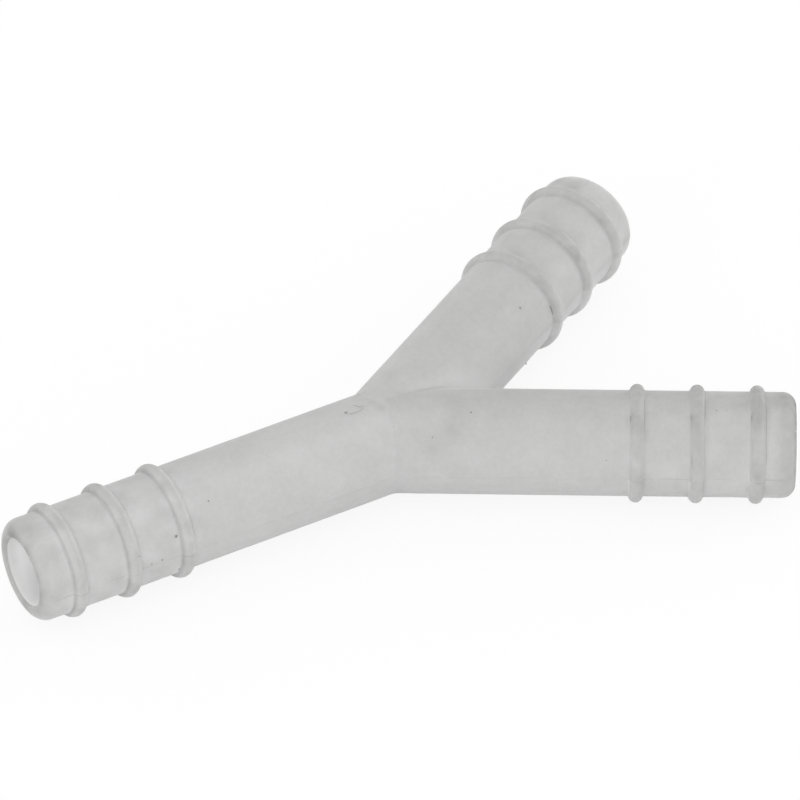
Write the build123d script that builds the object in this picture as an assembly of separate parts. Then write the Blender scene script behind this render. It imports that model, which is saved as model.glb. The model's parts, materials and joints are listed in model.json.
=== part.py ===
from build123d import *
import math
import os

# Y connector for soft tubing, moulded in one piece.
#
# Three round barrels of one size meet at one point: a stem along -X, and two branches that leave
# towards +X at equal angles to the X axis. The three axes lie in the plane z = 0, which is also
# the plane where the halves of its mould part, and they cross at the origin. Near its open end
# each barrel carries rounded rings that grip the tube pushed over it, the end itself is well
# rounded to lead the tube on, and a straight bore runs down each barrel to the middle.
# Lengths are in millimetres, angles in degrees.

# ---- barrels ----
BARREL_DIAMETER = 10.6
STEM_LENGTH = 41.0  # from the crossing of the axes to the stem's open end
BRANCH_LENGTH = 41.0  # from the crossing of the axes to each branch's open end
BRANCH_SPREAD = 60.0  # angle between the two branches
SEAM_ROUNDING = 0.5  # radius in the valleys where the barrels meet

# ---- bores ----
BORE_DIAMETER = 7.1  # the same in all three barrels

# ---- open ends ----
END_ROUNDING = 1.35  # radius round the outside of each open end
MOUTH_CHAMFER = 0.3  # width of the bevel round the inside of each open end
END_FACE = 0.1  # least width of the flat left between the rounding and the bevel

# ---- grip rings ----
RING_COUNT = 3
RING_SETBACK = 3.9  # from an open end to the middle of its first ring
RING_PITCH = 6.0  # from the middle of one ring to the next
RING_HEIGHT = 0.63  # how far a ring stands out of its barrel
RING_SECTION_RADIUS = 0.74  # radius of a ring's round section
RING_LAND = 0.24  # width of the narrow flat on a ring's crest
RING_FACETS = 2  # conical bands that follow the round section on each side of the land

# ---- worked out from the sizes above ----
barrel_radius = BARREL_DIAMETER / 2
bore_radius = BORE_DIAMETER / 2
wall = barrel_radius - bore_radius
# the wall leaves room for the rounding, the bevel and the flat between them
mouth_chamfer = min(MOUTH_CHAMFER, wall / 4)
end_rounding = min(END_ROUNDING, wall - mouth_chamfer - min(END_FACE, wall / 4))


def ring_section(middle):
    """The points of one grip ring's half section, from its foot over its land to its other foot."""
    crest = barrel_radius + RING_HEIGHT
    half_land = RING_LAND / 2
    # the round section's centre, placed so that its sides end at the land
    centre = crest - math.sqrt(RING_SECTION_RADIUS**2 - half_land**2)
    foot_angle = math.asin((barrel_radius - centre) / RING_SECTION_RADIUS)
    land_angle = math.acos(half_land / RING_SECTION_RADIUS)
    side = []
    for step in range(RING_FACETS + 1):
        angle = foot_angle + (land_angle - foot_angle) * step / RING_FACETS
        out = RING_SECTION_RADIUS * math.cos(angle)
        side.append((out, centre + RING_SECTION_RADIUS * math.sin(angle)))
    rise = [(middle - out, height) for out, height in side]
    fall = [(middle + out, height) for out, height in reversed(side)]
    return rise + fall


def barrel(length):
    """A solid barrel along +X from the origin, with its rings and its rounded end."""
    points = [(0, 0), (0, barrel_radius)]
    for index in reversed(range(RING_COUNT)):
        points += ring_section(length - RING_SETBACK - index * RING_PITCH)
    end_start = (length - end_rounding, barrel_radius)
    end_stop = (length, barrel_radius - end_rounding)
    section = [
        Polyline(*points, end_start),
        RadiusArc(end_start, end_stop, end_rounding),
        Polyline(end_stop, (length, 0), (0, 0)),
    ]
    return revolve(make_face(section), Axis.X)


def bore(length):
    """The space of one bore along +X from the origin, opening out a little at its mouth."""
    section = Polyline(
        (0, 0),
        (0, bore_radius),
        (length - mouth_chamfer, bore_radius),
        (length, bore_radius + mouth_chamfer),
        (length, 0),
        (0, 0),
    )
    return revolve(make_face(section), Axis.X)


def meet(shape, angles_and_lengths):
    """Three copies of a shape, each turned about Z from +X to its own direction, as one solid."""
    stem, near_branch, far_branch = [
        Rot(0, 0, angle) * shape(length) for angle, length in angles_and_lengths
    ]
    return stem + near_branch + far_branch


# the direction that each barrel leaves the crossing in, as an angle from +X, and its length
ARMS = [
    (180, STEM_LENGTH),
    (-BRANCH_SPREAD / 2, BRANCH_LENGTH),
    (BRANCH_SPREAD / 2, BRANCH_LENGTH),
]

outside = meet(barrel, ARMS)
# barrels of one size meet along ellipses, and no other edge of the outside is one
seams = outside.edges().filter_by(GeomType.ELLIPSE)
outside = fillet(seams, SEAM_ROUNDING)

y_connector = outside - meet(bore, ARMS)

os.makedirs("parts", exist_ok=True)
export_step(y_connector, "parts/y_connector.step")
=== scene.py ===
import json
import math

import bmesh
import bpy
from mathutils import Matrix, Vector, noise
from mathutils.bvhtree import BVHTree

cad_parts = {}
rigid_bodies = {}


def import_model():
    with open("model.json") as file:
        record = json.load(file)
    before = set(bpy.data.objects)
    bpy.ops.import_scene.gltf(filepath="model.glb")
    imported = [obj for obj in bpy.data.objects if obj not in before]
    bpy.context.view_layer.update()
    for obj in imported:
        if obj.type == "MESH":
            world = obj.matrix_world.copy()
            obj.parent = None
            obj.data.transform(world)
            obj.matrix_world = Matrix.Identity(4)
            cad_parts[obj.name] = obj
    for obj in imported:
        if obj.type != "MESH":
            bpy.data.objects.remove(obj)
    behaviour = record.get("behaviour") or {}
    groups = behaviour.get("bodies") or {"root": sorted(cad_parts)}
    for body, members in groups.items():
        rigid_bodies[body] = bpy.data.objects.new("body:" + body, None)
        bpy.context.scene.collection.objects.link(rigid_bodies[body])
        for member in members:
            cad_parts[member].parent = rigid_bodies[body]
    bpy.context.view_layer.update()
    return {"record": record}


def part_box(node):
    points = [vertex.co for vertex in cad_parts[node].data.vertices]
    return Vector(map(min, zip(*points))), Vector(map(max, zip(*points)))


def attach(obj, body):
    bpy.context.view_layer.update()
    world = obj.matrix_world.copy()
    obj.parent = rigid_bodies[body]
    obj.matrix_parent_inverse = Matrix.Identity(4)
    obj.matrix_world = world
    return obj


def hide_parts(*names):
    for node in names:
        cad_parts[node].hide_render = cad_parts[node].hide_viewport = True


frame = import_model()

# Everything is in metres, in the part's own frame: the bores' axes lie in z = 0 and cross at the
# origin, the stem runs along -X and the branches leave to either side of +X.
MM = 0.001

# ---- sizes read from the frame ----
mounts = {m["name"]: m for m in frame["record"]["mounts"]}
low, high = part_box("y_connector")
BORE_R = mounts["stem_bore"]["dims"]["r_mm"] * MM
CREST_R = mounts["stem_tail"]["dims"]["r_mm"] * MM
ARM_LENGTH = -low.x
MIDDLE_RING = Vector(mounts["stem_tail"]["pos_m"]).length

# ---- sizes that the frame doesn't hold ----
BARREL_R = 5.3 * MM
RING_PITCH = 6.0 * MM
RING_SECTION_R = 0.74 * MM
FOOT_ROUNDING = 0.12 * MM
END_ROUNDING = 1.35 * MM
MOUTH_ROUNDING = 0.34 * MM
FLASH_HEIGHT = 0.03 * MM  # the ridge that the mould's parting line leaves
FLASH_HALF_WIDTH = 0.05 * MM
HALF_SHIFT = 0.05 * MM  # how far the lower mould half's rings sit off the upper half's

RING_MIDDLES = [MIDDLE_RING + k * RING_PITCH for k in (-1, 0, 1)]
RING_CENTRE_R = CREST_R - RING_SECTION_R
RING_HALF_FOOT = math.sqrt(RING_SECTION_R**2 - (BARREL_R - RING_CENTRE_R) ** 2)

# ---- mesh density ----
COLUMNS = 136  # round each barrel, a multiple of 4
PARTING_COLUMNS = (0.3, 0.65, 1.1, 1.7)  # extra columns beside the parting line, in degrees
RING_STEPS = 9
ROUNDING_STEPS = 10
MOUTH_STEPS = 6
PLAIN_ROWS, PLAIN_CROWDING = 17, 1.8  # along a plain barrel, closer together at the crossing
MOUTH_ROWS, MOUTH_ROW_STEP = 10, 0.006  # just inside a bore, and their step as a share of it
BORE_ROWS, BORE_CROWDING = 14, 1.6  # along the rest of it, closer together at the crossing
FOOT_ROWS = (1.3, 0.9, 0.6, 0.38, 0.22)  # on the barrel beside a ring's foot, in mm from it
FOOT_CURVE = ((1.6, 0.0), (0.7, 0.05), (0.1, 0.45))  # out and up in the crease, in FOOT_ROUNDING
RING_ONLY_R = BARREL_R * 1.001  # a row that is further out than this lies on a ring
SHIFT_STEP = 0.08 * MM  # how far below the parting line the halves' shift is complete
SEAM_SHARE = 0.06  # the share of a plain barrel, at the crossing, that is smoothed
SEAM_PASSES, SEAM_PULL = 8, 0.5
MERGE_DISTANCE = 0.002 * MM

# the direction that each arm leaves the crossing in, and the angles to its two neighbours' mitres
ARMS = {
    "stem": (180.0, 75.0, -75.0),
    "near_branch": (-30.0, 30.0, -75.0),
    "far_branch": (30.0, 75.0, -30.0),
}

# How dark the plastic is painted: 0 is a plain barrel, 1 is the full painted shade of a thick ring,
# and less than 0 is painted light. The six are for a ring's half towards the crossing, its half
# towards the open end, the halo and the line at its foot on the first side, and the halo and the line
# on the
# second: painted shade on the rings, and painted crease shade and light at their feet.
RING_SHADES = {
    "stem": (1.04, 0.88, -0.28, 0.28, -0.50, 0.25),
    "near_branch": (0.90, 0.76, -0.28, -0.36, -0.12, -0.30),
    "far_branch": (0.82, 0.88, -0.48, -0.15, -0.22, 0.42),
}
# how much more or less of that painted shade a ring takes on one side, as light falls: middle and
# reach in degrees, extra share
RING_SIDES = {
    "stem": (90, 40, -0.20),
    "near_branch": (112, 26, 0.30),
    "far_branch": (205, 28, -0.6),
}
HALO_REACH = 0.65 * MM
LINE_REACH = 0.16 * MM
RING_EDGE = 0.1 * MM  # how far to either side of its foot a ring's own shade fades
END_SHADES = {"stem": 0.42, "near_branch": 0.90, "far_branch": 0.22}  # painted shade towards each open end
FAR_END_SIDE, FAR_END_LEAN = 210, 0.55  # the side of the far end with more painted shade, in degrees, and how much
END_REACH, END_FULL = 2.6 * MM, 0.2 * MM  # from the open end, where that starts and is full
# painted shade round each open end's mouth, where the wall is seen edge on
MOUTH_SHADES = {"stem": 0.95, "near_branch": 0.1, "far_branch": 0.6}
MOUTH_SIDE, MOUTH_LEAN = 60, 0.33  # the side where the mouth's painted shade is darker, in degrees, and how much
MOUTH_LINE_R = BORE_R + 0.3 * MM
MOUTH_REACH = 0.68 * MM
RIM_SHADES = {"stem": -0.05, "near_branch": 0.8, "far_branch": 0.0}  # painted shade on the flat of its rim
RIM_REACH, RIM_FULL = 0.4 * MM, 0.05 * MM
MOUTH_SHARE = 0.20  # how far the bore's painted light pales its first row
BORE_SHARE = 0.97  # and how far it pales its depth
BORE_FADE = 0.05  # the share of the bore's length over which one goes over into the other
BORE_BOTTOM, BORE_BOTTOM_SHARE = 295, 0.40  # the side, towards the bore's bottom, that takes more painted light, in degrees, and how much
# darker and paler stretches round each barrel, painted shade and painted light by how light falls on
# each side, with the far branch's dark parting line at 177: the middle and the reach in degrees, the
# strength
ROUND_SHADES = {
    "stem": ((66, 12, -0.12), (130, 36, 0.65)),
    "near_branch": ((66, 36, 0.85),),
    "far_branch": ((95, 70, 0.42), (177, 2.5, 0.25), (205, 26, -0.42), (32, 16, 0.35)),
}

# how much paler the fork's two facing sides are painted, as painted light against the shade they cast
# on each other, and the angle at which each branch faces the other
FORK_SHADE = -0.75
FORK_REACH = 3.6 * MM
FORK_SIDES = {"near_branch": 0, "far_branch": 180}

# how dark the mould's parting line is on each plain barrel, and from its first ring on
PARTING_LINES = {"stem": 0.28, "near_branch": 0.06, "far_branch": 0.45}
PARTING_LINE_GRIP = 0.5
PARTING_LINE_CHANGE = 2 * MM  # how far along the barrel one goes over into the other
PARTING_LINE_FADE, PARTING_LINE_STOP = 2 * MM, 0.5 * MM  # from the open end, where it fades and stops

# how unevenly the shade lies: the share by which it varies, and the size of the patches
UNEVEN_SHARE, UNEVEN_SIZE = 0.22, 0.9 * MM
GRIP_MOTTLING = 0.36  # how far the plastic between the stem's rings varies, twice the branches'
GRIP_MOTTLING_SIZE = 1.7 * MM
GRIP_MOTTLING_FADE = 3 * MM  # how far before the first ring that starts
CLOUD_CUT = 3  # how many times its radius a cloud reaches

# ---- marks read from the photograph, in its 800 by 800 frame ----
# soft clouds of painted shade (+) and painted light (-), partly the plastic's uneven tone: middle,
# radius in mm, strength
CLOUDS = (
    ((453, 431), 1.3, 0.36),
    ((430, 446), 1.2, 0.28),
    ((462, 402), 1.5, 0.10),
    ((500, 420), 2.0, 0.10),
    ((405, 424), 1.0, -0.12),
    ((384, 470), 0.7, -0.12),
    ((384, 450), 0.7, -0.08),
    ((381, 408), 0.5, 0.25),
    ((372, 403), 0.5, 0.15),
    ((300, 452), 2.0, -0.08),
    ((578, 258), 0.35, 0.5),
    ((601, 221), 0.6, 0.35),
    ((570, 186), 1.0, 0.2),
    ((600, 196), 1.5, -0.2),
    ((570, 215), 1.3, -0.2),
    ((759, 476), 0.7, 0.25),
    ((749, 489), 0.35, 0.25),
    ((60, 545), 0.5, -0.1),
    ((394, 414), 0.4, -0.22),
    ((394, 427), 0.4, -0.25),
    ((394, 440), 0.4, -0.25),
    ((394, 453), 0.4, -0.25),
    ((394, 466), 0.4, -0.25),
    ((366, 399), 0.45, 0.25),
    ((373, 402), 0.45, 0.25),
    ((379, 406), 0.45, 0.25),
    ((384, 411), 0.45, 0.15),
    ((728, 440), 1.6, 0.15),
    ((611, 273), 1.4, 0.6),
    ((600, 277), 1.2, 0.5),
    ((558, 181), 0.9, 0.4),
    ((508, 237), 0.9, 0.3),
    ((52, 615), 0.8, 0.35),
    ((643, 460), 1.6, -0.2),
    ((189, 457), 1.0, 0.25),
    ((569, 313), 0.8, 0.3),
    ((750, 496), 0.7, 0.3),
    ((88, 581), 0.7, -0.3),
    ((8, 537), 0.9, -0.55),
    ((625, 245), 1.0, 0.4),
    ((768, 492), 1.2, 0.4),
    ((757, 478), 0.8, 0.25),
    ((636, 398), 1.6, -0.3),
    ((695, 396), 1.6, -0.3),
    ((139, 553), 0.8, -0.25),
    ((588, 192), 1.0, -0.3),
    ((511, 273), 1.2, -0.2),
    ((397, 478), 0.8, -0.2),
    ((440, 477), 1.2, -0.15),
    ((502, 379), 0.8, -0.35),
    ((515, 350), 1.0, -0.2),
    ((402, 382), 1.0, -0.2),
    ((150, 550), 1.3, -0.2),
    ((190, 540), 1.2, -0.25),
)
# dirt moulded in or caught on the surface: middle and diameter in pixels
SPECKS = (
    ((176.3, 536.3), 3.2),
    ((139.3, 556.4), 2.0),
    ((179.2, 569.1), 2.8),
    ((208.4, 501.0), 1.8),
    ((151.9, 563.9), 1.8),
    ((162.4, 560.1), 2.2),
    ((471.0, 412.4), 2.3),
    ((432.3, 437.4), 1.6),
    ((393.8, 427.2), 1.1),
    ((727.6, 410.4), 0.9),
    ((597.3, 424.0), 0.9),
    ((485.6, 370.2), 0.9),
    ((626.0, 393.4), 1.6),
)
# the fainter ones, with the dot beside the gate's mark
FAINT_SPECKS = (
    ((716.5, 410.5), 1.9),
    ((606.3, 460.3), 1.5),
    ((789.0, 495.4), 3.0),
    ((520.3, 307.8), 3.7),
    ((345.8, 412.4), 3.7),
)
# little nubs of flash that stand out of the outline: middle and diameter in pixels
NUBS = (
    ((358.8, 394.4), 3.6),
    ((678.0, 493.6), 3.0),
    ((529.6, 361.2), 2.6),
    ((795.0, 431.2), 2.6),
)
# fine dark lines: the pixels that each one runs through, and its width in pixels
STREAKS = (
    (((549.8, 305.4), (551.6, 310.2), (553.0, 314.8)), 1.7),
    (((348.5, 414.0), (352.5, 413.6), (357.5, 411.8), (361.5, 409.6), (364.3, 406.0)), 0.6),
    (((353.5, 404.8), (357.0, 406.6), (361.0, 406.8), (363.6, 405.2)), 0.5),
    (((630.8, 415.0), (630.4, 418.5), (630.6, 422.6)), 1.1),
    (((691.3, 414.5), (691.0, 417.8), (691.2, 420.6)), 1.1),
    (((752.2, 414.5), (751.7, 418.0), (751.9, 421.2)), 1.2),
    (((691.9, 455.0), (691.6, 461.0), (692.0, 468.5)), 0.5),
    (((766.3, 400.0), (766.5, 420.0), (766.2, 445.0), (766.4, 467.0)), 0.45),
    (((705.5, 398.0), (705.7, 410.0), (705.2, 421.0)), 0.4),
    (((644.6, 398.0), (644.9, 412.0), (644.4, 428.0)), 0.4),
)


def smoothstep(edge0, edge1, x):
    """0 below the first edge, 1 beyond the second, and a smooth rise between them."""
    t = min(max((x - edge0) / (edge1 - edge0), 0.0), 1.0)
    return t * t * (3 - 2 * t)


# ---------------------------------------------------------------- camera
CAMERA_AZIMUTH, CAMERA_ELEVATION, CAMERA_ROLL = -29.38, 41.00, 0.30
CAMERA_DISTANCE = 966.8 * MM
CAMERA_LENS = 435.2
CAMERA_SENSOR = 36.0
CAMERA_ASIDE = Vector((1.470 * MM, 4.004 * MM))  # the view's middle, right of and above the origin
PICTURE = 800.0
CROSSING_PIXEL = Vector((390.0, 435.0))  # where the barrels cross in the picture
PIXEL_STEP = 0.5  # how far a pixel outside the outline moves towards it at a time
CAMERA_NEAR, CAMERA_FAR = 0.05, 20.0


def add_object(name, data):
    """A new object in the scene."""
    made = bpy.data.objects.new(name, data)
    bpy.context.scene.collection.objects.link(made)
    return made


def camera_frame():
    """The camera's place and its right, up and back directions."""
    azimuth = math.radians(CAMERA_AZIMUTH)
    elevation = math.radians(CAMERA_ELEVATION)
    roll = math.radians(CAMERA_ROLL)
    back = Vector((
        math.sin(azimuth) * math.cos(elevation),
        -math.cos(azimuth) * math.cos(elevation),
        math.sin(elevation),
    ))
    level = Vector((math.cos(azimuth), math.sin(azimuth), 0))
    upright = back.cross(level)
    right = level * math.cos(roll) + upright * math.sin(roll)
    up = upright * math.cos(roll) - level * math.sin(roll)
    place = back * CAMERA_DISTANCE + right * CAMERA_ASIDE.x + up * CAMERA_ASIDE.y
    return place, right, up, back


CAMERA_PLACE, CAMERA_RIGHT, CAMERA_UP, CAMERA_BACK = camera_frame()
PIXEL = CAMERA_DISTANCE * CAMERA_SENSOR / CAMERA_LENS / PICTURE  # a pixel's width at the object


def build_camera():
    """The scene's camera, at the photograph's viewing angle."""
    data = bpy.data.cameras.new("camera")
    data.lens = CAMERA_LENS
    data.sensor_width = CAMERA_SENSOR
    data.clip_start = CAMERA_NEAR
    data.clip_end = CAMERA_FAR
    camera = add_object("camera", data)
    turn = Matrix((CAMERA_RIGHT, CAMERA_UP, CAMERA_BACK)).transposed().to_4x4()
    camera.matrix_world = Matrix.Translation(CAMERA_PLACE) @ turn
    bpy.context.scene.camera = camera


def find(tree, pixel):
    """The surface's point and normal at a pixel of the photograph, or just inside its outline."""
    pixel = Vector(pixel)
    inwards = (CROSSING_PIXEL - pixel).normalized() * PIXEL_STEP
    while True:
        spot = (pixel - Vector((PICTURE, PICTURE)) / 2) / PICTURE * CAMERA_SENSOR / CAMERA_LENS
        ray = CAMERA_RIGHT * spot.x - CAMERA_UP * spot.y - CAMERA_BACK
        place, normal, _, _ = tree.ray_cast(CAMERA_PLACE, ray.normalized())
        if place is not None:
            return place, normal
        print("no surface at pixel", pixel)
        pixel = pixel + inwards


# ---------------------------------------------------------------- the moulded body
def column_angles():
    """Angles round a barrel from the branch plane, the same on both sides and above and below."""
    angles = [2 * math.pi * k / COLUMNS for k in range(COLUMNS)]
    for side in (0.0, math.pi):
        for degrees in PARTING_COLUMNS:
            angles += [side + math.radians(degrees), side - math.radians(degrees)]
    return sorted({round(a % (2 * math.pi), 9) for a in angles})


def ring_profile(middle):
    """(t, r) points of one round ring, with a tight rounding in the crease at each foot."""
    foot_angle = math.asin((BARREL_R - RING_CENTRE_R) / RING_SECTION_R)
    side = [(RING_HALF_FOOT + reach * MM, BARREL_R) for reach in FOOT_ROWS]
    for out, rise in FOOT_CURVE:
        side.append((RING_HALF_FOOT + out * FOOT_ROUNDING, BARREL_R + rise * FOOT_ROUNDING))
    for step in range(1, RING_STEPS + 1):
        angle = foot_angle + (math.pi / 2 - foot_angle) * step / RING_STEPS
        t = RING_SECTION_R * math.cos(angle)
        side.append((t, RING_CENTRE_R + RING_SECTION_R * math.sin(angle)))
    rise = [(middle - t, r) for t, r in side]
    fall = [(middle + t, r) for t, r in reversed(side[:-1])]
    return rise + fall


def arm_profile():
    """(t, r) points of an arm's outside, from its first ring to where the mouth meets the bore."""
    points = []
    for middle in RING_MIDDLES:
        points += ring_profile(middle)
        if middle != RING_MIDDLES[-1]:
            points.append((middle + RING_PITCH / 2, BARREL_R))
    for step in range(ROUNDING_STEPS + 1):
        angle = math.pi / 2 * step / ROUNDING_STEPS
        t = ARM_LENGTH - END_ROUNDING + END_ROUNDING * math.sin(angle)
        points.append((t, BARREL_R - END_ROUNDING + END_ROUNDING * math.cos(angle)))
    for step in range(MOUTH_STEPS + 1):
        angle = math.pi / 2 * step / MOUTH_STEPS
        t = ARM_LENGTH - MOUTH_ROUNDING + MOUTH_ROUNDING * math.cos(angle)
        points.append((t, BORE_R + MOUTH_ROUNDING - MOUTH_ROUNDING * math.sin(angle)))
    return points


PROFILE = arm_profile()
GRIP_START = PROFILE[0][0]  # where a plain barrel ends and the rings' rows begin
BORE_START = PROFILE[-1][0]  # where the mouth ends and the bore begins


def mitre(radius, angle, ahead, behind):
    """How far along an arm its wall starts, where it meets the neighbour on that side."""
    across = radius * math.cos(angle)
    turn = ahead if across > 0 else behind
    return abs(across / math.tan(math.radians(turn)))


def wrapped(degrees):
    """An angle brought between -180 and 180."""
    return (degrees + 180) % 360 - 180


def ring_shade(arm, t, angle):
    """Painted shade on the rings, and painted crease shade and light at their feet."""
    inner_half, outer_half, inner_halo, inner_line, outer_halo, outer_line = RING_SHADES[arm]
    middle_angle, reach, extra = RING_SIDES[arm]
    side = 1 + extra * math.exp(-((wrapped(angle - middle_angle) / reach) ** 2))
    shade = 0.0
    for middle in RING_MIDDLES:
        off = t - middle
        beside = abs(off) - RING_HALF_FOOT
        half = smoothstep(-RING_HALF_FOOT, RING_HALF_FOOT, off)
        ring = inner_half + (outer_half - inner_half) * half
        halo, line = (outer_halo, outer_line) if off > 0 else (inner_halo, inner_line)
        shade += side * ring * (1 - smoothstep(-RING_EDGE, RING_EDGE, beside))
        shade += halo * math.exp(-((beside / HALO_REACH) ** 2))
        shade += line * math.exp(-((beside / LINE_REACH) ** 2))
    return shade


def end_shade(arm, t, r, angle):
    """Painted shade at the open end, round its mouth and on its rim."""
    end = END_SHADES[arm]
    if arm == "far_branch":
        end += FAR_END_LEAN * math.cos(math.radians(angle - FAR_END_SIDE))
    shade = end * smoothstep(ARM_LENGTH - END_REACH, ARM_LENGTH - END_FULL, t)
    if t > ARM_LENGTH - END_ROUNDING:
        side = 1 + MOUTH_LEAN * math.cos(math.radians(angle - MOUTH_SIDE))
        line = math.exp(-(((r - MOUTH_LINE_R) / MOUTH_REACH) ** 2))
        shade += side * MOUTH_SHADES[arm] * line
    return shade + RIM_SHADES[arm] * smoothstep(ARM_LENGTH - RIM_REACH, ARM_LENGTH - RIM_FULL, t)


def outside_shade(arm, t, r, angle, start):
    """How much darker the plastic is painted here, outside the bores, than on a plain barrel: painted
    shade, and painted light below 0.
    """
    shade = ring_shade(arm, t, angle) + end_shade(arm, t, r, angle)
    if arm in FORK_SIDES:
        towards = max(0.0, math.cos(math.radians(angle - FORK_SIDES[arm])))
        shade += FORK_SHADE * towards * math.exp(-(((t - start) / FORK_REACH) ** 2))
    for middle, reach, strength in ROUND_SHADES[arm]:
        shade += strength * math.exp(-((wrapped(angle - middle) / reach) ** 2))
    return shade


def bore_painted_light(value, angle):
    """How far the plastic is painted paler, as painted light through the wall, from its mouth inwards
    and towards its bottom.
    """
    bottom = max(0.0, math.cos(angle - math.radians(BORE_BOTTOM)))
    share = MOUTH_SHARE + (BORE_SHARE - MOUTH_SHARE) * smoothstep(0, BORE_FADE, value)
    return min(1.0, share + BORE_BOTTOM_SHARE * bottom)


def parting_line(arm, t):
    """How dark the parting line is at a place along an arm."""
    grip = smoothstep(GRIP_START, GRIP_START + PARTING_LINE_CHANGE, t)
    line = PARTING_LINES[arm] * (1 - grip) + PARTING_LINE_GRIP * grip
    fade = smoothstep(ARM_LENGTH - PARTING_LINE_FADE, ARM_LENGTH - PARTING_LINE_STOP, t)
    return line * (1 - fade)


def body_rows():
    """The rows of points along an arm: their kind, their place along it and their radius."""
    plain = [(k / PLAIN_ROWS) ** PLAIN_CROWDING for k in range(PLAIN_ROWS)]
    mouth = [MOUTH_ROW_STEP * k for k in range(MOUTH_ROWS)]
    depth = [1 - (1 - k / BORE_ROWS) ** BORE_CROWDING for k in range(1, BORE_ROWS + 1)]
    rows = [("plain", share, BARREL_R) for share in plain]
    rows += [("fixed", t, r) for t, r in PROFILE[:-1]]
    return rows + [("bore", share, BORE_R) for share in mouth + depth]


def row_point(row, angle, ahead, behind):
    """A point of a row: its place along the arm, its radius, and where the arm's wall starts."""
    kind, value, radius = row
    s = math.sin(angle)
    r = radius
    if kind == "plain" or (kind == "fixed" and value < ARM_LENGTH - END_ROUNDING):
        r += FLASH_HEIGHT * math.exp(-((s * r / FLASH_HALF_WIDTH) ** 2))
    start = mitre(r, angle, ahead, behind)
    if kind == "plain":
        return start + (GRIP_START - start) * value, r, start
    if kind == "bore":
        return BORE_START + (start - BORE_START) * value, r, start
    t = value
    if radius > RING_ONLY_R and s < 0:
        t -= HALF_SHIFT * smoothstep(0, SHIFT_STEP, -s * r)
    return t, r, start


def body_mesh():
    """The three arms as grids of points, with what each point's place gives it."""
    angles = column_angles()
    count = len(angles)
    rows = body_rows()
    verts, faces, shades, insides, lines, seams = [], [], [], [], [], []
    for arm, (azimuth, ahead, behind) in ARMS.items():
        along = Vector((math.cos(math.radians(azimuth)), math.sin(math.radians(azimuth)), 0))
        across = Vector((-along.y, along.x, 0))
        base = len(verts)
        for row in rows:
            kind, value, _ = row
            inside = kind == "bore"
            for angle in angles:
                t, r, start = row_point(row, angle, ahead, behind)
                across_by, up_by = r * math.cos(angle), r * math.sin(angle)
                verts.append(along * t + across * across_by + Vector((0, 0, up_by)))
                degrees = math.degrees(angle)
                shades.append(0.0 if inside else outside_shade(arm, t, r, degrees, start))
                # how far the bore is painted paler: painted light
                insides.append(bore_painted_light(value, angle) if inside else 0.0)
                lines.append(parting_line(arm, t))
                seams.append(1.0 if kind == "plain" and value < SEAM_SHARE else 0.0)
        for index in range(len(rows) - 1):
            for k in range(count):
                a = base + index * count + k
                b = base + index * count + (k + 1) % count
                faces.append((a, b, b + count, a + count))
    mesh = bpy.data.meshes.new("moulded_body")
    mesh.from_pydata(verts, [], faces)
    # shade holds painted shade and painted light, and inside the bores' painted light
    for name, values in (("shade", shades), ("inside", insides), ("line", lines), ("seam", seams)):
        mesh.attributes.new(name, "FLOAT", "POINT").data.foreach_set("value", values)
    return mesh


def build_body():
    """The moulded body, and the tree that finds places on its surface."""
    mesh = body_mesh()
    bm = bmesh.new()
    bm.from_mesh(mesh)
    bmesh.ops.remove_doubles(bm, verts=bm.verts, dist=MERGE_DISTANCE)
    seam = bm.verts.layers.float["seam"]
    for _ in range(SEAM_PASSES):
        bmesh.ops.smooth_vert(
            bm, verts=[v for v in bm.verts if v[seam] > 0.5], factor=SEAM_PULL,
            use_axis_x=True, use_axis_y=True, use_axis_z=True,
        )
    bmesh.ops.recalc_face_normals(bm, faces=bm.faces)
    for face in bm.faces:
        face.smooth = True
    open_edges = sum(1 for e in bm.edges if not e.is_manifold)
    tree = BVHTree.FromBMesh(bm)
    add_clouds(bm, tree)
    bm.to_mesh(mesh)
    bm.free()
    print("body: vertices", len(mesh.vertices), "faces", len(mesh.polygons), "open edges", open_edges)
    return add_object("moulded_body", mesh), tree


def add_clouds(bm, tree):
    """Adds the soft clouds of painted shade and light to the shade, and breaks up the painted shade of
    the rings and creases.
    """
    layer = bm.verts.layers.float["shade"]
    inside = bm.verts.layers.float["inside"]
    clouds = []
    for pixel, radius, strength in CLOUDS:
        place, _ = find(tree, pixel)
        clouds.append((place, radius * MM, strength))
    for vert in bm.verts:
        if vert[inside] > 0:
            continue
        uneven = 1 + UNEVEN_SHARE * noise.noise(vert.co / UNEVEN_SIZE)
        first_ring = RING_MIDDLES[0]
        grip = smoothstep(first_ring - GRIP_MOTTLING_FADE, first_ring, vert.co.length)
        mottling = GRIP_MOTTLING if vert.co.x < 0 else GRIP_MOTTLING / 2
        patches = noise.noise(vert.co / GRIP_MOTTLING_SIZE)
        shade = vert[layer] * uneven + mottling * grip * patches
        for place, radius, strength in clouds:
            off = (vert.co - place).length / radius
            if off < CLOUD_CUT:
                shade += strength * math.exp(-off * off)
        vert[layer] = shade


# ---------------------------------------------------------------- marks on the surface
def build_marks(name, outlines):
    """One thin object from flat domes, each a list of rows of points that are lofted together."""
    mesh = bpy.data.meshes.new(name)
    verts, faces = [], []
    for rows in outlines:
        base = len(verts)
        width = len(rows[0])
        for row in rows:
            verts += row
        for r in range(len(rows) - 1):
            for k in range(width - 1):
                a = base + r * width + k
                faces.append((a, a + 1, a + 1 + width, a + width))
    mesh.from_pydata(verts, [], faces)
    for polygon in mesh.polygons:
        polygon.use_smooth = True
    return add_object(name, mesh)


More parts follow.
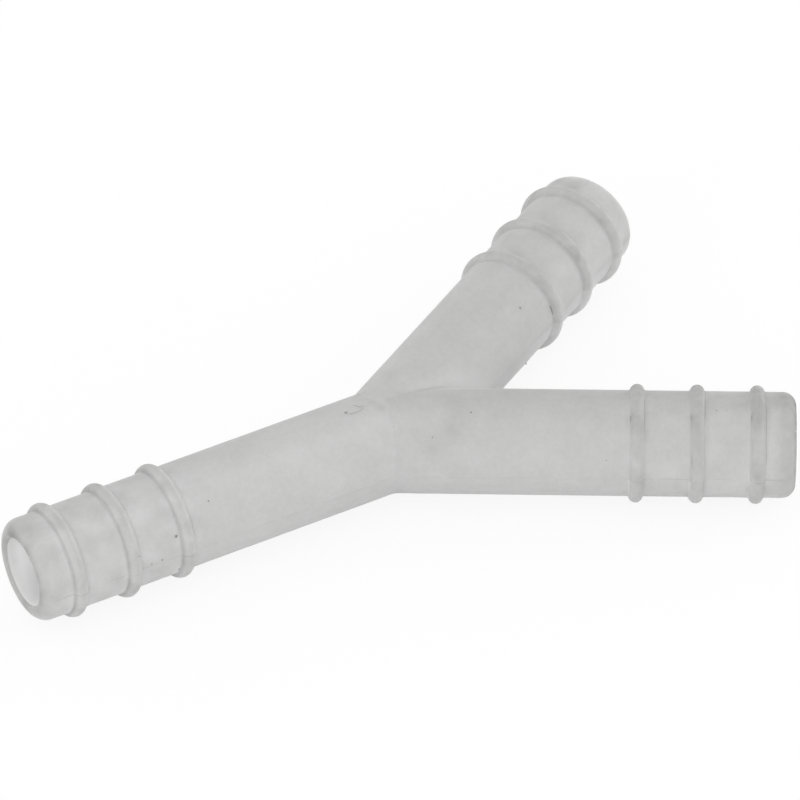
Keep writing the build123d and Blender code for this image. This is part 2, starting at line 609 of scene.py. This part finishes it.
# each dome as rings from its sunk edge to its top: the share of its radius, and the height in mm
FLAT_DOME = ((1.0, -0.012), (0.8, 0.006), (0.45, 0.014), (0.02, 0.016))
NUB_DOME = ((1.0, -0.08), (0.85, 0.04), (0.55, 0.12), (0.25, 0.155), (0.02, 0.16))
DOME_SIDES = 12
DOME_UNEVEN = 0.3  # the share by which a dome's outline varies
# a streak's section from side to side: the share of its half width, and the height in mm
STREAK_SECTION = ((-1, -0.01), (-0.6, 0.006), (0, 0.012), (0.6, 0.006), (1, -0.01))
STREAK_STEPS = 7  # between two of its pixels
STREAK_POINT, STREAK_TAPER = 0.15, 6  # its width at each end, and how fast it widens from there
STREAK_UNEVEN, STREAK_UNEVEN_SCALE = 0.5, 0.45  # how far its width varies, and how often per pixel


def speck(tree, pixel, diameter, dome=FLAT_DOME):
    """A small uneven dome: rings of points from its sunk edge to its top."""
    place, normal = find(tree, pixel)
    side = normal.orthogonal().normalized()
    other = normal.cross(side)
    radius = diameter * PIXEL / 2
    rows = []
    for share, height in dome:
        row = []
        for k in range(DOME_SIDES + 1):
            angle = 2 * math.pi * (k % DOME_SIDES) / DOME_SIDES
            draw = noise.noise(place / MM + Vector((math.cos(angle), math.sin(angle), 0)))
            uneven = 1 + DOME_UNEVEN * draw
            out = side * math.cos(angle) + other * math.sin(angle)
            row.append(place + out * (radius * share * uneven) + normal * (height * MM))
        rows.append(row)
    return rows


def streak(tree, pixels, width):
    """A fine raised line that follows the surface through a few pixels, tapered at both ends."""
    rows = []
    points = []
    for a, b in zip(pixels, pixels[1:]):
        for k in range(STREAK_STEPS):
            points.append(Vector(a).lerp(Vector(b), k / STREAK_STEPS))
    points.append(Vector(pixels[-1]))
    for index, point in enumerate(points):
        ahead = points[min(index + 1, len(points) - 1)] - points[max(index - 1, 0)]
        side = Vector((-ahead.y, ahead.x)).normalized()
        share = index / (len(points) - 1)
        widening = STREAK_TAPER * share + STREAK_POINT
        narrowing = STREAK_TAPER * (1 - share) + STREAK_POINT
        taper = min(1.0, widening, narrowing)
        draw = noise.noise(Vector((point.x, point.y, 0)) * STREAK_UNEVEN_SCALE)
        uneven = 1 + STREAK_UNEVEN * draw
        half = width / 2 * taper * uneven
        row = []
        for off, height in STREAK_SECTION:
            place, normal = find(tree, point + side * (half * off))
            row.append(place + normal * (height * MM))
        rows.append(row)
    return rows


# ---------------------------------------------------------------- materials
def new_material(name):
    material = bpy.data.materials.new(name)
    material.use_nodes = True
    tree = material.node_tree
    tree.nodes.clear()
    return material, tree


def node(tree, kind, **settings):
    """A new node, with its inputs and properties set by name."""
    made = tree.nodes.new(kind)
    for key, value in settings.items():
        label = key.replace("_", " ").title()
        if label in made.inputs.keys():
            made.inputs[label].default_value = value
        else:
            setattr(made, key, value)
    return made


PLASTIC = (0.622, 0.622, 0.619, 1)
# the full painted shade, mixed in by the shade attribute: on thick rings, in creases and on shaded
# sides
PLASTIC_PAINTED_SHADE = (0.466, 0.466, 0.461, 1)
# the bores painted near white: painted light that stands in for light through the wall
PLASTIC_BORE_PAINTED_LIGHT = (0.995, 0.995, 0.993, 1)
DIRT_DARK = (0.20, 0.195, 0.185, 1)
DIRT_PALE = (0.35, 0.345, 0.335, 1)
FAINT_DARK = (0.30, 0.295, 0.285, 1)
FAINT_PALE = (0.43, 0.425, 0.415, 1)
PLASTIC_ROUGHNESS = 0.55
PLASTIC_SPECULAR = 0.3
PLASTIC_IOR = 1.49
EVEN_RADIUS = (1.0, 1.0, 1.0)  # light of every colour scatters equally far
SCATTER = 2.2 * MM
SCATTER_BORE = 7.0 * MM
NOISE_LOW, NOISE_HIGH = 0.3, 0.7  # the range that Blender's noise mostly keeps to
# noise in the shade: its scale per metre, its detail, and how far it moves the shade either way
SHADE_NOISES = ((330.0, 3.0, 0.10), (4200.0, 2.0, 0.07), (1700.0, 1.0, 0.07))
LINE_WANDER = (170.0, 1.0, -0.07 * MM, 0.07 * MM)  # scale, detail, least and most
LINE_BREAKS = (450.0, 1.0, 0.1, 1.7)
LINE_HALF_WIDTH = 0.10 * MM
GRAIN_SCALE, GRAIN_DETAIL = 2600.0, 2.0
GRAIN_STRENGTH, GRAIN_DEPTH = 0.12, 0.01 * MM
DIRT_ROUGHNESS = 0.8
DIRT_SCALE, DIRT_DETAIL = 3000.0, 2.0


def polypropylene():
    """Natural polypropylene: milky, translucent, faintly mottled, with painted shade and light, bores
    painted pale.
    """
    material, tree = new_material("natural_polypropylene")
    link = tree.links.new
    out = node(tree, "ShaderNodeOutputMaterial")
    shader = node(tree, "ShaderNodeBsdfPrincipled", roughness=PLASTIC_ROUGHNESS, subsurface_weight=1.0)
    shader.inputs["Specular IOR Level"].default_value = PLASTIC_SPECULAR
    shader.inputs["IOR"].default_value = PLASTIC_IOR
    shader.inputs["Subsurface Radius"].default_value = EVEN_RADIUS
    coordinates = node(tree, "ShaderNodeTexCoord")

    def cloudy(scale, detail, low_value, high_value):
        """Noise of one scale, spread from a low to a high value."""
        texture = node(tree, "ShaderNodeTexNoise", scale=scale, detail=detail)
        link(coordinates.outputs["Object"], texture.inputs["Vector"])
        spread = node(tree, "ShaderNodeMapRange", from_min=NOISE_LOW, from_max=NOISE_HIGH)
        spread.inputs["To Min"].default_value = low_value
        spread.inputs["To Max"].default_value = high_value
        link(texture.outputs["Fac"], spread.inputs["Value"])
        return spread.outputs["Result"]

    def sum_of(first, second):
        total = node(tree, "ShaderNodeMath", operation="ADD")
        link(first, total.inputs[0])
        link(second, total.inputs[1])
        return total.outputs["Value"]

    shade = node(tree, "ShaderNodeAttribute", attribute_name="shade")
    amount = shade.outputs["Fac"]
    for scale, detail, spread in SHADE_NOISES:
        amount = sum_of(amount, cloudy(scale, detail, -spread, spread))

    # the parting line wanders a little about z = 0 and comes and goes
    height = node(tree, "ShaderNodeSeparateXYZ")
    link(coordinates.outputs["Object"], height.inputs["Vector"])
    wandering = sum_of(height.outputs["Z"], cloudy(*LINE_WANDER))
    distance = node(tree, "ShaderNodeMath", operation="ABSOLUTE")
    link(wandering, distance.inputs[0])
    line = node(tree, "ShaderNodeMapRange", interpolation_type="SMOOTHSTEP", from_min=0.0)
    line.inputs["From Max"].default_value = LINE_HALF_WIDTH
    line.inputs["To Min"].default_value = 1.0
    line.inputs["To Max"].default_value = 0.0
    link(distance.outputs["Value"], line.inputs["Value"])
    broken = node(tree, "ShaderNodeMath", operation="MULTIPLY")
    link(line.outputs["Result"], broken.inputs[0])
    link(cloudy(*LINE_BREAKS), broken.inputs[1])
    depth = node(tree, "ShaderNodeAttribute", attribute_name="line")
    deep = node(tree, "ShaderNodeMath", operation="MULTIPLY")
    link(broken.outputs["Value"], deep.inputs[0])
    link(depth.outputs["Fac"], deep.inputs[1])
    amount = sum_of(amount, deep.outputs["Value"])

    # painted shade, and painted light where the shade amount is below 0
    plastic = node(tree, "ShaderNodeMix", data_type="RGBA", clamp_factor=False)
    plastic.inputs["A"].default_value = PLASTIC
    plastic.inputs["B"].default_value = PLASTIC_PAINTED_SHADE
    link(amount, plastic.inputs["Factor"])
    # the bores are painted paler towards near white: painted light
    inside = node(tree, "ShaderNodeAttribute", attribute_name="inside")
    bore = node(tree, "ShaderNodeMix", data_type="RGBA")
    bore.inputs["B"].default_value = PLASTIC_BORE_PAINTED_LIGHT
    link(inside.outputs["Fac"], bore.inputs["Factor"])
    link(plastic.outputs["Result"], bore.inputs["A"])
    link(bore.outputs["Result"], shader.inputs["Base Color"])
    # light comes further through the wall into the bores
    scatter = node(tree, "ShaderNodeMapRange", from_min=0.0, from_max=1.0)
    scatter.inputs["To Min"].default_value = SCATTER
    scatter.inputs["To Max"].default_value = SCATTER_BORE
    link(inside.outputs["Fac"], scatter.inputs["Value"])
    link(scatter.outputs["Result"], shader.inputs["Subsurface Scale"])

    grain = node(tree, "ShaderNodeTexNoise", scale=GRAIN_SCALE, detail=GRAIN_DETAIL)
    link(coordinates.outputs["Object"], grain.inputs["Vector"])
    bump = node(tree, "ShaderNodeBump", strength=GRAIN_STRENGTH, distance=GRAIN_DEPTH)
    link(grain.outputs["Fac"], bump.inputs["Height"])
    link(bump.outputs["Normal"], shader.inputs["Normal"])
    link(shader.outputs["BSDF"], out.inputs["Surface"])
    return material


def dirt(name, dark, pale):
    """Dirt of one strength, uneven between a dark and a pale grey."""
    material, tree = new_material(name)
    link = tree.links.new
    out = node(tree, "ShaderNodeOutputMaterial")
    shader = node(tree, "ShaderNodeBsdfPrincipled", roughness=DIRT_ROUGHNESS)
    coordinates = node(tree, "ShaderNodeTexCoord")
    texture = node(tree, "ShaderNodeTexNoise", scale=DIRT_SCALE, detail=DIRT_DETAIL)
    link(coordinates.outputs["Object"], texture.inputs["Vector"])
    mix = node(tree, "ShaderNodeMix", data_type="RGBA")
    mix.inputs["A"].default_value = dark
    mix.inputs["B"].default_value = pale
    link(texture.outputs["Fac"], mix.inputs["Factor"])
    link(mix.outputs["Result"], shader.inputs["Base Color"])
    link(shader.outputs["BSDF"], out.inputs["Surface"])
    return material


def flash():
    """The same plastic in shreds too thin for light to scatter far in."""
    material, tree = new_material("flash")
    out = node(tree, "ShaderNodeOutputMaterial")
    shader = node(tree, "ShaderNodeBsdfPrincipled", base_color=PLASTIC, roughness=PLASTIC_ROUGHNESS)
    tree.links.new(shader.outputs["BSDF"], out.inputs["Surface"])
    return material


# ---------------------------------------------------------------- stage and light
WHITE = (1, 1, 1, 1)
FLOOR_COLOUR = (0.9, 0.9, 0.9, 1)
FLOOR_HALF = 1.5
FLOOR_GLOW = 0.85  # the share of the seen floor that is plain white, and keeps no shadow
FLOOR_WHITE = 1.03
SKY_HORIZON, SKY_ZENITH = 1.05, 0.75
# disk lamps that face the origin: name, place in metres, width in metres, power in watts
LAMPS = (
    ("key_softbox", (-0.20, -1.15, 0.30), 0.6, 0.6),
    ("left_softbox", (-1.10, -0.40, 0.45), 0.6, 1.2),
    ("right_softbox", (1.10, -0.10, 0.35), 0.6, 1.8),
)


def seen_directly(tree):
    """1 where the camera, a reflection or a view through something meets the surface, or else 0."""
    path = node(tree, "ShaderNodeLightPath")
    total = path.outputs["Is Camera Ray"]
    for kind in ("Is Glossy Ray", "Is Transmission Ray"):
        either = node(tree, "ShaderNodeMath", operation="MAXIMUM")
        tree.links.new(total, either.inputs[0])
        tree.links.new(path.outputs[kind], either.inputs[1])
        total = either.outputs["Value"]
    return total


def build_floor():
    """A white floor that keeps the object's shadow."""
    material, tree = new_material("studio_floor")
    link = tree.links.new
    out = node(tree, "ShaderNodeOutputMaterial")
    diffuse = node(tree, "ShaderNodeBsdfDiffuse", color=FLOOR_COLOUR)
    white = node(tree, "ShaderNodeEmission", color=WHITE, strength=FLOOR_WHITE)
    share = node(tree, "ShaderNodeMath", operation="MULTIPLY")
    share.inputs[1].default_value = FLOOR_GLOW
    link(seen_directly(tree), share.inputs[0])
    mix = node(tree, "ShaderNodeMixShader")
    link(share.outputs["Value"], mix.inputs["Fac"])
    link(diffuse.outputs["BSDF"], mix.inputs[1])
    link(white.outputs["Emission"], mix.inputs[2])
    # from below the floor is clear, so that the underside can be seen
    path = node(tree, "ShaderNodeLightPath")
    side = node(tree, "ShaderNodeNewGeometry")
    below = node(tree, "ShaderNodeMath", operation="MULTIPLY")
    link(path.outputs["Is Camera Ray"], below.inputs[0])
    link(side.outputs["Backfacing"], below.inputs[1])
    clear = node(tree, "ShaderNodeBsdfTransparent")
    whole = node(tree, "ShaderNodeMixShader")
    link(below.outputs["Value"], whole.inputs["Fac"])
    link(mix.outputs["Shader"], whole.inputs[1])
    link(clear.outputs["BSDF"], whole.inputs[2])
    link(whole.outputs["Shader"], out.inputs["Surface"])
    mesh = bpy.data.meshes.new("studio_floor")
    half = FLOOR_HALF
    corners = [(-half, -half, low.z), (half, -half, low.z), (half, half, low.z), (-half, half, low.z)]
    mesh.from_pydata(corners, [], [(0, 1, 2, 3)])
    mesh.materials.append(material)
    floor = add_object("studio_floor", mesh)


def build_world():
    """A white studio, brighter from the sides than from above, and plain white where it is seen."""
    world = bpy.data.worlds.new("studio")
    bpy.context.scene.world = world
    world.use_nodes = True
    tree = world.node_tree
    tree.nodes.clear()
    link = tree.links.new
    out = node(tree, "ShaderNodeOutputWorld")
    coordinates = node(tree, "ShaderNodeTexCoord")
    height = node(tree, "ShaderNodeSeparateXYZ")
    link(coordinates.outputs["Generated"], height.inputs["Vector"])
    strength = node(tree, "ShaderNodeMapRange", from_min=0.0, from_max=1.0)
    strength.inputs["To Min"].default_value = SKY_HORIZON
    strength.inputs["To Max"].default_value = SKY_ZENITH
    link(height.outputs["Z"], strength.inputs["Value"])
    light = node(tree, "ShaderNodeBackground", color=WHITE)
    link(strength.outputs["Result"], light.inputs["Strength"])
    seen = node(tree, "ShaderNodeBackground", color=WHITE, strength=1.0)
    mix = node(tree, "ShaderNodeMixShader")
    link(seen_directly(tree), mix.inputs["Fac"])
    link(light.outputs["Background"], mix.inputs[1])
    link(seen.outputs["Background"], mix.inputs[2])
    link(mix.outputs["Shader"], out.inputs["Surface"])


def build_lamp(name, place, size, power):
    """A round soft lamp that faces the origin."""
    data = bpy.data.lights.new(name, "AREA")
    data.shape = "DISK"
    data.size = size
    data.energy = power
    lamp = add_object(name, data)
    lamp.location = place
    lamp.rotation_mode = "QUATERNION"
    lamp.rotation_quaternion = (-Vector(place)).to_track_quat("-Z", "Y")


body, surface = build_body()
body.data.materials.append(polypropylene())
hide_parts("y_connector")
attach(body, "root")

specks = build_marks("specks", [speck(surface, pixel, size) for pixel, size in SPECKS])
specks.data.materials.append(dirt("dirt", DIRT_DARK, DIRT_PALE))
faint = [streak(surface, pixels, width) for pixels, width in STREAKS]
faint += [speck(surface, pixel, size) for pixel, size in FAINT_SPECKS]
faint_marks = build_marks("faint_marks", faint)
faint_marks.data.materials.append(dirt("faint_dirt", FAINT_DARK, FAINT_PALE))
for marks in (specks, faint_marks):
    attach(marks, "root")

nubs = build_marks("flash_nubs", [speck(surface, pixel, size, NUB_DOME) for pixel, size in NUBS])
nubs.data.materials.append(flash())
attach(nubs, "root")

build_camera()
build_floor()
build_world()
for name, place, size, power in LAMPS:
    build_lamp(name, place, size, power)

bpy.context.scene.view_settings.view_transform = "Standard"
